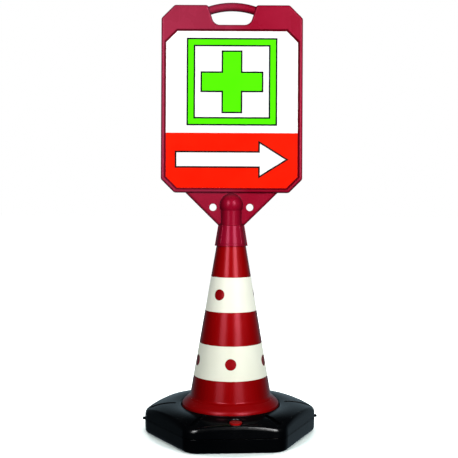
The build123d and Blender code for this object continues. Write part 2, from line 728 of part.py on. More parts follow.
with BuildPart() as handle_bar:
    bar_middle = board_top - HANDLE_DROP
    bar_half_angle = math.asin((NOTCH_MOUTH_WIDTH / 2 + HANDLE_ROOT) / HANDLE_ARC)
    with BuildSketch(Plane((0, 0, bar_middle), x_dir=(0, 1, 0), z_dir=(1, 0, 0))):
        Ellipse(HANDLE_DEPTH / 2, HANDLE_HEIGHT / 2)
    revolve(
        axis=Axis((0, 0, bar_middle - HANDLE_ARC), (0, 1, 0)),
        revolution_arc=math.degrees(bar_half_angle),
    )
    mirror(about=Plane.YZ)

with BuildPart() as socket:
    turned(
        [
            (0, collar_foot),
            (collar_radius(collar_foot), collar_foot),
            (collar_radius(collar_top), collar_top),
            (0, collar_top),
        ]
    )
    fillet(ring_edge(socket, collar_top), COLLAR_ROUND)
    turned(
        [
            (collar_radius(groove_foot) - COLLAR_GROOVE_DEPTH, groove_foot),
            (collar_radius(groove_foot) + COLLAR_GROOVE_DEPTH, groove_foot),
            (collar_radius(groove_foot) + COLLAR_GROOVE_DEPTH, groove_foot + COLLAR_GROOVE_WIDTH),
            (collar_radius(groove_foot) - COLLAR_GROOVE_DEPTH, groove_foot + COLLAR_GROOVE_WIDTH),
        ],
        Mode.SUBTRACT,
    )
    turned([(0, collar_foot), (socket_radius, collar_foot), (socket_radius, dome_height), (0, dome_height)])
    with Locations((0, 0, dome_height)):
        Sphere(dome_radius)

with BuildPart() as sign_body:
    extrude(board_outline.sketch, amount=board_face, both=True)
    board_faces = sign_body.faces().sort_by(Axis.Y)
    fillet(board_faces[0].edges() + board_faces[-1].edges(), BOARD_EDGE_ROUND)
    for side in (-1, 1):
        recess_ends = [
            print_face(side * recess_floor, PRINT_GAP).face(),
            print_face(side * board_face, PRINT_GAP + RECESS_BEVEL).face(),
        ]
        loft(recess_ends, ruled=True, mode=Mode.SUBTRACT)
    with BuildSketch(Plane.XZ) as board_seam:
        add(board_outline.sketch_local)
        offset(amount=BOARD_SEAM_REACH)
    extrude(board_seam.sketch, amount=BOARD_SEAM_WIDTH / 2, both=True)
    add(handle_bar.part)
    add(
        flat_plate(
            [
                (-WEB_FOOT_WIDTH / 2, web_foot),
                (WEB_FOOT_WIDTH / 2, web_foot),
                (web_root_width / 2, board_foot + WEB_ROOT),
                (-web_root_width / 2, board_foot + WEB_ROOT),
            ],
            WEB_THICKNESS,
            WEB_EDGE_ROUND,
        )
    )
    fin_top = collar_radius(web_foot) + FIN_TOP_REACH
    fin_foot = collar_radius(collar_foot) + FIN_FOOT_REACH
    add(
        flat_plate(
            [
                (-fin_foot, collar_foot),
                (fin_foot, collar_foot),
                (fin_top, web_foot + WEB_EDGE_ROUND),
                (-fin_top, web_foot + WEB_EDGE_ROUND),
            ],
            FIN_THICKNESS,
            FIN_ROUND,
        )
    )
    rib_top = collar_radius(collar_top) + RIB_REACH
    rib_foot = collar_radius(groove_foot) + RIB_REACH
    rib_plate = flat_plate(
        [(-rib_foot, groove_foot), (rib_foot, groove_foot), (rib_top, collar_top), (-rib_top, collar_top)],
        RIB_THICKNESS,
        RIB_ROUND,
    )
    for side in (-1, 1):
        add(rib_plate, rotation=(0, 0, 90 + side * RIB_ANGLE))
    add(socket.part)
    with BuildSketch(Plane.XZ) as hollow:
        add(board_outline.sketch_local)
        offset(amount=-BOARD_WALL)
    extrude(hollow.sketch, amount=recess_floor - BOARD_WALL, both=True, mode=Mode.SUBTRACT)
    turned(
        [
            (0, collar_foot),
            (cone_radius(collar_foot) + COLLAR_CLEARANCE, collar_foot),
            (cone_radius(seat_height) + COLLAR_CLEARANCE, seat_height),
            (socket_bore, seat_height),
            (socket_bore, dome_height),
            (0, dome_height),
        ],
        Mode.SUBTRACT,
    )
    with Locations((0, 0, dome_height)):
        Sphere(dome_radius - SOCKET_WALL, mode=Mode.SUBTRACT)
    with BuildSketch(Plane.XZ) as web_holes:
        with Locations((0, hole_height)):
            with GridLocations(WEB_HOLE_SPACING, 1, 2, 1):
                Circle(WEB_HOLE_RADIUS)
    extrude(web_holes.sketch, amount=WEB_THICKNESS, both=True, mode=Mode.SUBTRACT)
    hole_edges = sign_body.edges().filter_by(GeomType.CIRCLE)
    fillet(hole_edges.filter_by(is_hole_rim), WEB_HOLE_ROUND)
sign_body.part.label = "sign_body"
export_step(sign_body.part, "parts/sign_body.step")

# Printed sheets, front and rear
with BuildPart() as front_print:
    extrude(print_face(recess_floor, 0.0), amount=PRINT_THICKNESS)
front_print.part.label = "front_print"
export_step(front_print.part, "parts/front_print.step")

with BuildPart() as rear_print:
    extrude(print_face(-recess_floor, 0.0), amount=-PRINT_THICKNESS)
rear_print.part.label = "rear_print"
export_step(rear_print.part, "parts/rear_print.step")
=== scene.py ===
# %% [markdown]
# # A portable street sign on a traffic cone
# The measured model of this sign was drawn in a CAD program: every piece already has its real
# size and place, in metres. Blender could move or scale the pieces, but then they would no longer
# fit together, so this lesson only dresses them. It gives each surface its finish, makes the two
# printed sheets, and sets up a small studio with a camera.

# %% Load the measured model
import math

import bpy
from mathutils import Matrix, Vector


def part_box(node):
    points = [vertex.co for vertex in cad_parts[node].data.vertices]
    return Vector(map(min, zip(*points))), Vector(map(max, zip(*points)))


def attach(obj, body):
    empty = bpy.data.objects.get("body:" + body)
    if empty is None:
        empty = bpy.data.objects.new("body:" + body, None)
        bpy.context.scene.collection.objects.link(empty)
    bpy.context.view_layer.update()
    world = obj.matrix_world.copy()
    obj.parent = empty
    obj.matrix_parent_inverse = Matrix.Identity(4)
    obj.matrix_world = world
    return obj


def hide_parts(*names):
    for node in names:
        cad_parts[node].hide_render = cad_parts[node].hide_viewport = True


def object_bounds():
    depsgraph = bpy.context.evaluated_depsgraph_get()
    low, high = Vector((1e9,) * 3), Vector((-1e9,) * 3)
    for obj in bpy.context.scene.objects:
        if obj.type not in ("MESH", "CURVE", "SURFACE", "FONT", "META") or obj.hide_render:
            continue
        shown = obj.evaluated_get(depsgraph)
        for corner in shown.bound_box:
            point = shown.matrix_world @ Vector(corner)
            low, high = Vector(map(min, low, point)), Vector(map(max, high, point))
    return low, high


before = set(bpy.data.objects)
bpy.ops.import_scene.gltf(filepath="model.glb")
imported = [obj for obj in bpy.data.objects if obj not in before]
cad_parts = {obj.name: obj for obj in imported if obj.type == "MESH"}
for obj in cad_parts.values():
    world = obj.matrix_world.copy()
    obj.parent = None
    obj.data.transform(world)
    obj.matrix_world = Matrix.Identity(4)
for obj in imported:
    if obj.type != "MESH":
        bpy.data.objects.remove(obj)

cad_low, cad_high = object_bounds()
bpy.ops.object.select_all(action="DESELECT")
print("measured pieces:", len(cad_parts))
print("tallest point, m:", round(cad_high.z, 4))

# %% [markdown]
# ## The camera
# The photograph was taken from straight in front, at about the height of the cone's tip, with a
# lens long enough to keep the board square. A free camera could be turned until it looks right.
# Here it is worked out from what the picture shows instead: the row of the horizon, the column of
# the cone's axis, and how many pixels one metre takes at a known distance. The camera leans by a
# quarter of a degree, as the picture does.

# %% Camera
PICTURE_SIDE = 458  # pixels, as are the next three
FOCAL_PIXELS = 770
HORIZON_ROW = 207
AXIS_COLUMN = 231.33
CAMERA_DISTANCE = 1.925  # in front of the cone's axis
CAMERA_HEIGHT = 0.558
CAMERA_LEAN = math.radians(-0.28)
SENSOR_WIDTH = 36.0  # mm

axis_offset = (PICTURE_SIDE / 2 - AXIS_COLUMN) / FOCAL_PIXELS * CAMERA_DISTANCE
bpy.ops.object.camera_add(
    location=(axis_offset, -CAMERA_DISTANCE, CAMERA_HEIGHT),
    rotation=(math.pi / 2, CAMERA_LEAN, 0),
)
camera = bpy.context.object
camera.name = "front_camera"
camera.data.sensor_width = SENSOR_WIDTH
camera.data.lens = SENSOR_WIDTH * FOCAL_PIXELS / PICTURE_SIDE
camera.data.shift_y = (HORIZON_ROW - PICTURE_SIDE / 2) / PICTURE_SIDE
bpy.context.scene.camera = camera
print("lens, mm:", round(camera.data.lens, 1), "shift:", round(camera.data.shift_y, 3))

# %% [markdown]
# ## Small tools for shader trees
# A finish is a tree of shader nodes. Each node could be added by hand in the Shader Editor, and a
# few short functions do the same from code. The first ones place a node, fill or link its inputs,
# and start a finish or a node group, which is a piece of a tree that many finishes can share. The
# others are shorthands for the nodes that come back most.


# %% Nodes, finishes and groups
def fill(tree, node, inputs):
    """Give each named input of a node a value, or a link from another node's output."""
    for name, value in inputs.items():
        if isinstance(value, bpy.types.NodeSocket):
            tree.links.new(value, node.inputs[name])
        else:
            node.inputs[name].default_value = value


def place(tree, kind, inputs=None, **settings):
    """Add a node with its settings, and fill its inputs."""
    node = tree.nodes.new("ShaderNode" + kind)
    for name, value in settings.items():
        setattr(node, name, value)
    fill(tree, node, inputs or {})
    return node


def shader_of(finish):
    """The shader that a finish ends in."""
    return finish.node_tree.nodes["Principled BSDF"]


def start_finish(name):
    """Start a finish, and return it with its tree and its shader."""
    finish = bpy.data.materials.new(name)
    finish.use_nodes = True
    return finish, finish.node_tree, shader_of(finish)


def start_group(name, inputs, outputs):
    """Start a node group with number inputs, and return its tree, its inputs and its end node."""
    tree = bpy.data.node_groups.new(name, "ShaderNodeTree")
    for label, value in inputs.items():
        socket = tree.interface.new_socket(label, in_out="INPUT", socket_type="NodeSocketFloat")
        socket.default_value = value
    for label, kind in outputs.items():
        tree.interface.new_socket(label, in_out="OUTPUT", socket_type="NodeSocket" + kind)
    return tree, tree.nodes.new("NodeGroupInput").outputs, tree.nodes.new("NodeGroupOutput")


def use_group(tree, name, values=None):
    """Place a shared group in a finish with its own values, and return the group's outputs."""
    return place(tree, "Group", values, node_tree=bpy.data.node_groups[name]).outputs


print("tools for trees ready")


# %% Shorthands for nodes
def surface_point(tree):
    """Where the surface is, in metres: its Object coordinates."""
    return place(tree, "TexCoord").outputs["Object"]


def surface_normal(tree):
    """Which way the surface faces."""
    return place(tree, "NewGeometry").outputs["Normal"]


def part_along(tree, vector, axis):
    """The part of a vector along one axis."""
    return place(tree, "SeparateXYZ", {0: vector}).outputs[axis]


def measure(tree, operation, *vectors):
    """Number that a Vector Math node gives for one vector or two."""
    node = place(tree, "VectorMath", dict(enumerate(vectors)), operation=operation)
    return node.outputs["Value"]


def arithmetic(tree, operation, *values, clamp=False):
    """Result of a Math node over numbers or sockets."""
    node = place(tree, "Math", dict(enumerate(values)), operation=operation, use_clamp=clamp)
    return node.outputs[0]


def remap(tree, value, start, end, low=0.0, high=1.0):
    """Carry a value over from the span start to end to the span low to high."""
    inputs = {"Value": value, "From Min": start, "From Max": end, "To Min": low, "To Max": high}
    return place(tree, "MapRange", inputs).outputs[0]


def mix_colours(tree, mask, under, over, blend="MIX"):
    """Lay one colour over another by a mask."""
    # A Mix node has sockets for every kind of data: 6 and 7 are its colours, 2 their mixture.
    inputs = {0: mask, 6: under, 7: over}
    return place(tree, "Mix", inputs, data_type="RGBA", blend_type=blend).outputs[2]


def noise(tree, vector, scale, detail=2.0, roughness=0.5):
    """Height of a cloudy noise pattern."""
    inputs = {"Vector": vector, "Scale": scale, "Detail": detail, "Roughness": roughness}
    return place(tree, "TexNoise", inputs).outputs[0]


print("shorthands ready")

# %% [markdown]
# ## Studio: floor, air and lamps
# The sign stands in a white photo studio. A curved paper sweep would do, but the sign is also
# looked at from behind, so a wide flat floor that fades into white air suits every side. Close to
# the tank the paper keeps its own tone and the shadow, and a few centimetres further out it is
# lifted to plain white. The plastic neither mirrors the paper nor gets any light from it.

# %% Floor
FLOOR_SIDE = 80.0
FLOOR_DROP = 0.0004
FIBRES_PER_METRE = 60.0
PAPER_TONES = ((0.84, 0.94, 0.92, 1), (0.86, 0.96, 0.94, 1))
PAPER_ROUGHNESS = 0.9
WHITE = (1, 1, 1, 1)
NEAR_GLOW = 0.0  # what lifts the paper towards white under the tank
FAR_GLOW = 1.0  # and further off, so that floor and air meet in one white
GLOW_START = 0.200  # from the cone's axis
GLOW_END = 0.260

bpy.ops.mesh.primitive_plane_add(size=FLOOR_SIDE, location=(0, 0, -FLOOR_DROP))
floor = bpy.context.object
floor.name = "studio_floor"
floor.visible_glossy = False
floor.visible_diffuse = False

paper, paper_tree, paper_shader = start_finish("studio_paper")
paper_point = surface_point(paper_tree)
paper_fibre = noise(paper_tree, paper_point, FIBRES_PER_METRE)
paper_reach = measure(paper_tree, "LENGTH", paper_point)
paper_glow = remap(paper_tree, paper_reach, GLOW_START, GLOW_END, NEAR_GLOW, FAR_GLOW)
paper_ray = place(paper_tree, "LightPath").outputs
paper_inputs = {
    "Base Color": mix_colours(paper_tree, paper_fibre, *PAPER_TONES),
    "Roughness": PAPER_ROUGHNESS,
    "Specular IOR Level": 0.0,
    "Emission Color": WHITE,
    "Emission Strength": arithmetic(
        paper_tree, "MULTIPLY", paper_ray["Is Camera Ray"], paper_glow
    ),
}
fill(paper_tree, paper_shader, paper_inputs)
floor.data.materials.append(paper)
print("floor side, m:", FLOOR_SIDE)

# %% [markdown]
# The air is a world shader that answers each kind of ray in its own way. The camera sees plain
# white. The pieces get a weak, even light. A reflection sees a dark room with one dim backdrop low
# behind the sign, so that glossy black plastic stays black and its top still shows a sheen.

# %% Air
SOFT_AIR = 0.05  # strength of the even light
FRONT_SHEEN = (0.006, 0.007, 0.009, 1)
BACK_SHEEN = (0.22, 0.30, 0.35, 1)
BACK_WAY = (0.12, 0.99, 0.0)
BACK_FOCUS = 2.0  # power that narrows the backdrop
SHEEN_TOP = 0.50  # height of the way at which the backdrop ends, and where it is full
SHEEN_FULL = 0.15

air = bpy.data.worlds.new("studio_air")
air.use_nodes = True
bpy.context.scene.world = air
air_tree = air.node_tree
air_tree.nodes.clear()
ray = place(air_tree, "LightPath").outputs
way = place(air_tree, "TexCoord").outputs["Generated"]
backward = arithmetic(air_tree, "MAXIMUM", measure(air_tree, "DOT_PRODUCT", way, BACK_WAY), 0.0)
backward = arithmetic(air_tree, "POWER", backward, BACK_FOCUS)
low_down = remap(air_tree, part_along(air_tree, way, "Z"), SHEEN_TOP, SHEEN_FULL)
backdrop = arithmetic(air_tree, "MULTIPLY", backward, low_down)
sheen = mix_colours(air_tree, backdrop, FRONT_SHEEN, BACK_SHEEN)
white = place(air_tree, "Background", {"Color": WHITE, "Strength": 1.0}).outputs[0]
soft = place(air_tree, "Background", {"Color": WHITE, "Strength": SOFT_AIR}).outputs[0]
dark = place(air_tree, "Background", {"Color": sheen, "Strength": 1.0}).outputs[0]
lit = place(air_tree, "MixShader", {0: ray["Is Glossy Ray"], 1: soft, 2: dark}).outputs[0]
seen = place(air_tree, "MixShader", {0: ray["Is Camera Ray"], 1: lit, 2: white}).outputs[0]
place(air_tree, "OutputWorld", {"Surface": seen})
bpy.context.scene.view_settings.view_transform = "Standard"
print("soft air:", SOFT_AIR)

# %% [markdown]
# Two tall softboxes stand left and right of the camera: they draw the two upright streaks that run
# down the cone. Each has a dim panel under it, because the streaks fade towards the foot. The other
# lamps only fill in and are left out of reflections: one on the right, a weak one overhead, and two
# behind that keep the back from going dark.

# %% Lamps
LAMP_DISTANCE = 2.25  # from the cone's axis
BACK_TURN = 150  # degrees
sign_middle = Vector((0, 0, cad_high.z / 2))
sign_foot = Vector((0, 0, cad_high.z / 4))


def softbox(name, target, turn, height, width, tall, watts, distance=LAMP_DISTANCE):
    """Area lamp that looks at a point. Its turn is in degrees from the front to the right."""
    angle = math.radians(turn)
    stand = Vector((math.sin(angle) * distance, -math.cos(angle) * distance, height))
    bpy.ops.object.light_add(type="AREA", location=stand)
    lamp = bpy.context.object
    lamp.name = name
    lamp.rotation_euler = (target - stand).to_track_quat("-Z", "Y").to_euler()
    lamp.data.shape = "RECTANGLE"
    lamp.data.size = width
    lamp.data.size_y = tall
    lamp.data.energy = watts
    return lamp


softbox("left_softbox", sign_middle, turn=-27.5, height=1.40, width=0.86, tall=1.25, watts=35)
softbox("left_foot_softbox", sign_foot, turn=-31, height=0.50, width=0.86, tall=0.55, watts=4.2)
softbox("right_softbox", sign_middle, turn=29, height=1.35, width=0.95, tall=1.40, watts=48)
softbox("right_foot_softbox", sign_foot, turn=24, height=0.42, width=0.95, tall=0.45, watts=3.7)
fills = [
    softbox("fill_softbox", sign_middle, turn=60, height=1.2, width=0.8, tall=1.4, watts=13),
    softbox(
        "top_softbox", sign_middle, turn=180, height=2.9, width=1.6, tall=1.2, watts=4, distance=0.4
    ),
]
for side in (-1, 1):
    back_name = f"back_softbox_{side}"
    back_turn = side * BACK_TURN
    fills.append(
        softbox(back_name, sign_middle, back_turn, height=1.5, width=0.8, tall=1.4, watts=30)
    )
for lamp in fills:
    lamp.visible_glossy = False

# %% [markdown]
# ## Shared effects
# Moulded plastic is never one flat colour. Four effects come back on most of the pieces, so each is
# a node group: the fine grain that the mould leaves, rub marks from handling, dust that settles on
# what faces up, and edges that are rounded and rubbed a little paler. All of them read Object
# coordinates, which are metres here, so a grain of half a millimetre is half a millimetre on every
# piece. A noise pattern lies round one half, and a span picks out the part of it that an effect
# uses: a high, narrow span leaves only the peaks.

# %% Mould grain
PATCH_SPAN = (0.3, 0.7)

grain, grain_in, grain_out = start_group(
    "mould_grain",
    {"Grains per metre": 900.0, "Patches per metre": 12.0},
    {"Height": "Float", "Patch": "Float"},
)
grain_point = surface_point(grain)
fine = noise(grain, grain_point, grain_in["Grains per metre"], detail=2.0, roughness=0.6)
broad = noise(grain, grain_point, grain_in["Patches per metre"], detail=4.0, roughness=0.55)
fill(grain, grain_out, {"Height": fine, "Patch": remap(grain, broad, *PATCH_SPAN)})
print("group:", grain.name)

# %% [markdown]
# A rub mark is a short, dull, slightly sunken hair, as handling leaves it. Drawn marks would
# repeat, so a noise is stretched into hairs instead, and a second, coarser noise lets them show in
# places only.

# %% Rub marks
RUB_TURN = (0.5, 0.35, 0.8)  # radians, so that the marks run aslant
RUB_STRETCH = (260.0, 260.0, 9.0)  # narrow across, long along
HAIR_SPAN = (0.66, 0.74)
RUBBED_PLACES_PER_METRE = 18.0
RUBBED_SPAN = (0.48, 0.62)

rubs, rubs_in, rubs_out = start_group("rub_marks", {"Amount": 0.5}, {"Mask": "Float"})
rubs_point = surface_point(rubs)
slant = place(rubs, "Mapping", {"Vector": rubs_point, "Rotation": RUB_TURN, "Scale": RUB_STRETCH})
hairs = remap(rubs, noise(rubs, slant.outputs[0], scale=1.0, detail=1.0), *HAIR_SPAN)
rubbed_places = noise(rubs, rubs_point, RUBBED_PLACES_PER_METRE, detail=3.0)
marks = arithmetic(rubs, "MULTIPLY", hairs, remap(rubs, rubbed_places, *RUBBED_SPAN))
marks = arithmetic(rubs, "MULTIPLY", marks, rubs_in["Amount"], clamp=True)
fill(rubs, rubs_out, {"Mask": marks})
print("group:", rubs.name)

# %% [markdown]
# Dust lies on what faces up. The upward part of the surface's direction says where, a cloudy noise
# thins it out, and a fine one adds single specks.

# %% Settled dust
UPWARD_SPAN = (0.55, 1.0)
CLOUDS_PER_METRE = 28.0
CLOUD_SPAN = (0.35, 0.75)
SPECKS_PER_METRE = 1400.0
SPECK_SPAN = (0.60, 0.72)

dust, dust_in, dust_out = start_group("settled_dust", {"Amount": 0.3}, {"Mask": "Float"})
dust_point = surface_point(dust)
upward = remap(dust, part_along(dust, surface_normal(dust), "Z"), *UPWARD_SPAN)
clouds = noise(dust, dust_point, CLOUDS_PER_METRE, detail=6.0, roughness=0.65)
specks = noise(dust, dust_point, SPECKS_PER_METRE, detail=1.0)
layer = arithmetic(
    dust, "ADD", remap(dust, clouds, *CLOUD_SPAN), remap(dust, specks, *SPECK_SPAN)
)
layer = arithmetic(dust, "MULTIPLY", layer, upward)
layer = arithmetic(dust, "MULTIPLY", layer, dust_in["Amount"], clamp=True)
fill(dust, dust_out, {"Mask": layer})
print("group:", dust.name)

# %% [markdown]
# A Bevel node gives the direction that the surface would face if its edges were rounded. That
# makes a sharp edge catch the light, and where it differs from the true direction, there is an edge
# to rub.

# %% Rubbed edges
EDGE_SAMPLES = 6
CORNER_SPAN = (0.97, 0.80)  # likeness of the two directions, from flat to a full edge
BREAKS_PER_METRE = 120.0
BREAK_SPAN = (0.35, 0.65)

edges, edges_in, edges_out = start_group(
    "rubbed_edges", {"Radius": 0.0012, "Amount": 0.5}, {"Mask": "Float", "Normal": "Vector"}
)
rounded = place(edges, "Bevel", {"Radius": edges_in["Radius"]}, samples=EDGE_SAMPLES).outputs[0]
likeness = measure(edges, "DOT_PRODUCT", rounded, surface_normal(edges))
breaks = noise(edges, surface_point(edges), BREAKS_PER_METRE, detail=4.0)
rubbed = arithmetic(
    edges, "MULTIPLY", remap(edges, likeness, *CORNER_SPAN), remap(edges, breaks, *BREAK_SPAN)
)
rubbed = arithmetic(edges, "MULTIPLY", rubbed, edges_in["Amount"], clamp=True)
fill(edges, edges_out, {"Mask": rubbed, "Normal": rounded})
print("group:", edges.name)

# %% [markdown]
# ## Moulded plastics
# Nearly every piece is moulded polyethylene or polypropylene. They differ in colour, gloss and
# grain, and in how much they are handled, but the tree is the same, so one function builds it.
# A colour drifts between two near tones. Where the surface turns away from the eye, a painted tone
# takes over: painted shade, darker, in the reds and dark pieces and most on the sign's rounded
# edges, and painted light, paler, in the white bands. Rubbed edges and dust lie on top, a piece is
# painted almost black in another piece's reflections, the gloss changes from patch to patch, and
# the grain is a fine bump.

# %% Plastic finish
PAINTED_GRAZING_BLEND = 0.5
DUST_COLOUR = (0.30, 0.29, 0.27, 1)
BLACK = (0, 0, 0, 1)
MIRROR_LOSS = 0.95  # of a piece's brightness when another piece's gloss mirrors it
MARK_DULLING = 0.25  # added roughness under a rub mark
DUST_DULLING = 0.5  # and under dust
MARK_HEIGHT = -0.8  # of a rub mark, in heights of the grain
GRAIN_STRENGTH = 0.6


def moulded_plastic(
    name, deep, pale, painted_grazing_tone, rubbed_tone, gloss, grains, depth, dusting, handling, edge
):
    """Finish of a moulded piece: tones, roughness span, grain, and how dusty and handled it is."""
    finish, tree, shader = start_finish(name)
    skin = use_group(tree, "mould_grain", {"Grains per metre": grains})
    marks = use_group(tree, "rub_marks", {"Amount": handling})["Mask"]
    film = use_group(tree, "settled_dust", {"Amount": dusting})["Mask"]
    rim = use_group(tree, "rubbed_edges", {"Radius": edge, "Amount": handling})
    painted_grazing_mask = place(tree, "LayerWeight", {"Blend": PAINTED_GRAZING_BLEND}).outputs["Facing"]
    mirrored = place(tree, "LightPath").outputs["Is Glossy Ray"]
    tone = mix_colours(tree, skin["Patch"], (*deep, 1), (*pale, 1))
    # Painted shade and light: the tone where the surface turns edge-on stands in for the shading of
    # its sides.
    tone = mix_colours(tree, painted_grazing_mask, tone, (*painted_grazing_tone, 1))
    tone = mix_colours(tree, rim["Mask"], tone, (*rubbed_tone, 1))
    tone = mix_colours(tree, film, tone, DUST_COLOUR)
    tone = mix_colours(tree, arithmetic(tree, "MULTIPLY", mirrored, MIRROR_LOSS), tone, BLACK)
    rough = remap(tree, skin["Patch"], 0.0, 1.0, *gloss)
    rough = arithmetic(tree, "MULTIPLY_ADD", marks, MARK_DULLING, rough)
    rough = arithmetic(tree, "MULTIPLY_ADD", film, DUST_DULLING, rough, clamp=True)
    bump_inputs = {
        "Height": arithmetic(tree, "MULTIPLY_ADD", marks, MARK_HEIGHT, skin["Height"]),
        "Distance": depth,
        "Strength": GRAIN_STRENGTH,
        "Normal": rim["Normal"],
    }
    bump = place(tree, "Bump", bump_inputs).outputs[0]
    fill(tree, shader, {"Base Color": tone, "Roughness": rough, "Normal": bump})
    return finish


print("plastic finish ready")

# %% [markdown]
# No finish is the same all over a large piece: grime gathers towards the foot, a side fades in the
# sun, a part is scuffed or stays smooth. Masks for this could be painted on by hand. Here they read
# the place on the piece. One short function makes such a mask, two lay a colour or a roughness over
# a finish by it, and the last one tints the highlights of a finish.


# %% Drifts over a finish
def along(finish, axis, start, end, both_ways=False):
    """Mask that grows along one axis of the pieces with a finish, from 0 at start to 1 at end."""
    tree = finish.node_tree
    distance = part_along(tree, surface_point(tree), axis)
    if both_ways:
        distance = arithmetic(tree, "ABSOLUTE", distance)
    return remap(tree, distance, start, end)


def drift(finish, mask, colour, blend):
    """Blend a colour into a finish by a mask."""
    tree = finish.node_tree
    socket = shader_of(finish).inputs["Base Color"]
    tone = socket.links[0].from_socket
    tree.links.new(mix_colours(tree, mask, tone, colour, blend), socket)


def roughen(finish, mask, amount):
    """Add to the roughness of a finish by a mask. A negative amount polishes it."""
    tree = finish.node_tree
    socket = shader_of(finish).inputs["Roughness"]
    rough = socket.links[0].from_socket
    tree.links.new(arithmetic(tree, "MULTIPLY_ADD", mask, amount, rough), socket)


def tint_shine(finish, tint, level):
    """Give the highlights of a finish their tint and their level."""
    inputs = {"Specular Tint": tint, "Specular IOR Level": level}
    fill(finish.node_tree, shader_of(finish), inputs)


print("drifts ready")

# %% [markdown]
# The tank is blow-moulded black polyethylene with a glossy skin. Its top shows a cool grey sheen
# where it mirrors the backdrop, so dust is kept thin and the gloss high.

# %% Tank
tank_black = moulded_plastic(
    "tank_black",
    deep=(0.0002, 0.0004, 0.0007),
    pale=(0.0005, 0.0008, 0.0011),
    painted_grazing_tone=(0.0002, 0.0004, 0.0007),
    rubbed_tone=(0.006, 0.007, 0.007),
    gloss=(0.15, 0.22),
    grains=500.0,
    depth=0.00004,
    dusting=0.004,
    handling=0.15,
    edge=0.0005,
)
print("finish:", tank_black.name)

# %% [markdown]
# The cone is satin red: a deep tone, a finer grain and soft upright streaks from the lamps. In red
# plastic the pigment lies right under the skin, so its highlights look pink rather than white,
# which a tinted specular gives. The rivets are a little duller and more handled.

# %% Cone and rivets
cone_red = moulded_plastic(
    "cone_red",
    deep=(0.25, 0.0005, 0.0010),
    pale=(0.28, 0.0008, 0.0016),
    painted_grazing_tone=(0.07, 0.0002, 0.0004),
    rubbed_tone=(0.36, 0.02, 0.03),
    gloss=(0.19, 0.23),
    grains=1100.0,
    depth=0.00004,
    dusting=0.004,
    handling=0.35,
    edge=0.0012,
)
rivet_red = moulded_plastic(
    "rivet_red",
    deep=(0.22, 0.0008, 0.0020),
    pale=(0.25, 0.0012, 0.0028),
    painted_grazing_tone=(0.07, 0.0002, 0.0004),
    rubbed_tone=(0.36, 0.03, 0.04),
    gloss=(0.22, 0.27),
    grains=1400.0,
    depth=0.00004,
    dusting=0.01,
    handling=0.5,
    edge=0.0008,
)
CONE_SHINE = (1.0, 0.24, 0.32, 1)
CONE_SHINE_LEVEL = 0.45
for red in (cone_red, rivet_red):
    tint_shine(red, CONE_SHINE, CONE_SHINE_LEVEL)
print("finishes:", cone_red.name, rivet_red.name)

# %% [markdown]
# Towards the foot the cone is painted darker, as painted shade where the lamps' light falls off,
# and the slope of its skirt is scuffed dull, down to the round rim, which keeps its gloss.

# %% Painted shade and scuffs on the cone
FOOT_SHADE = (0.79, 0.78, 0.78, 1)
FOOT_SHADE_START = 0.30  # heights over the floor, as are the next four
FOOT_SHADE_FULL = 0.09
SCUFF_TOP = 0.084
RIM_TOP = 0.075
RIM_MIDDLE = 0.069
SCUFF_BLUR = 0.006
SCUFF_DULLING = 0.12

# Painted shade: the cone's tone darkens towards the floor.
drift(cone_red, along(cone_red, "Z", FOOT_SHADE_START, FOOT_SHADE_FULL), FOOT_SHADE, "MULTIPLY")
below_top = along(cone_red, "Z", SCUFF_TOP + SCUFF_BLUR, SCUFF_TOP)
over_rim = along(cone_red, "Z", RIM_MIDDLE, RIM_TOP)
on_slope = arithmetic(cone_red.node_tree, "MULTIPLY", below_top, over_rim)
roughen(cone_red, on_slope, SCUFF_DULLING)
print("scuffed height, m:", round(SCUFF_TOP - RIM_TOP, 4))

# %% [markdown]
# The bands are cream-white plastic sleeves, let in flush. They are the matt, slightly warm surface
# of the set. Towards the foot they are painted a little darker, as painted shade, so the lower one
# is a little greyer.

# %% Bands
band_cream = moulded_plastic(
    "band_cream",
    deep=(0.71, 0.72, 0.60),
    pale=(0.75, 0.76, 0.65),
    painted_grazing_tone=(0.95, 1.00, 0.89),
    rubbed_tone=(0.80, 0.78, 0.68),
    gloss=(0.42, 0.52),
    grains=1600.0,
    depth=0.00006,
    dusting=0.03,
    handling=0.3,
    edge=0.0008,
)
# Painted shade: the bands darken towards the floor.
BAND_FOOT_SHADE = (0.92, 0.93, 0.91, 1)
BAND_FOOT_SHADE_START = 0.34  # heights over the floor
BAND_FOOT_SHADE_FULL = 0.16
band_foot_shade = along(band_cream, "Z", BAND_FOOT_SHADE_START, BAND_FOOT_SHADE_FULL)
drift(band_cream, band_foot_shade, BAND_FOOT_SHADE, "MULTIPLY")
print("finish:", band_cream.name)

# %% [markdown]
# The board, its web and socket are one blow-moulded crimson body. Its skin has a visible fine grain
# and a low sheen, and the left side of the board and web carries a painted sheen, a little pinker.
# The round socket came out of a smoother part of the mould: it gets no painted sheen and has a
# sharper shine.

# %% Sign body
sign_crimson = moulded_plastic(
    "sign_crimson",
    deep=(0.23, 0.0018, 0.0145),
    pale=(0.26, 0.0028, 0.0190),
    painted_grazing_tone=(0.03, 0.0003, 0.003),
    rubbed_tone=(0.32, 0.02, 0.04),
    gloss=(0.24, 0.30),
    grains=1000.0,
    depth=0.00007,
    dusting=0.04,
    handling=0.45,
    edge=0.0014,
)
SIGN_SHINE = (1.0, 0.25, 0.43, 1)
SIGN_SHINE_LEVEL = 0.30
tint_shine(sign_crimson, SIGN_SHINE, SIGN_SHINE_LEVEL)
print("finish:", sign_crimson.name)

# %% Painted sheen on the board, and a smooth socket
BOARD_FOOT = 0.590
BOARD_BLUR = 0.005
WEB_LIMIT = 0.012  # front to back: the web lies within it, the socket's round faces beyond
WEB_BLUR = 0.002
WEB_SHEEN_SHARE = 0.35  # of the board's painted sheen
LEFT_SHEEN_START = 0.045  # across the board
LEFT_SHEEN_FULL = -0.010
PAINTED_LEFT_SHEEN = (0.012, 0.012, 0.022, 1)
SOCKET_POLISH = -0.08

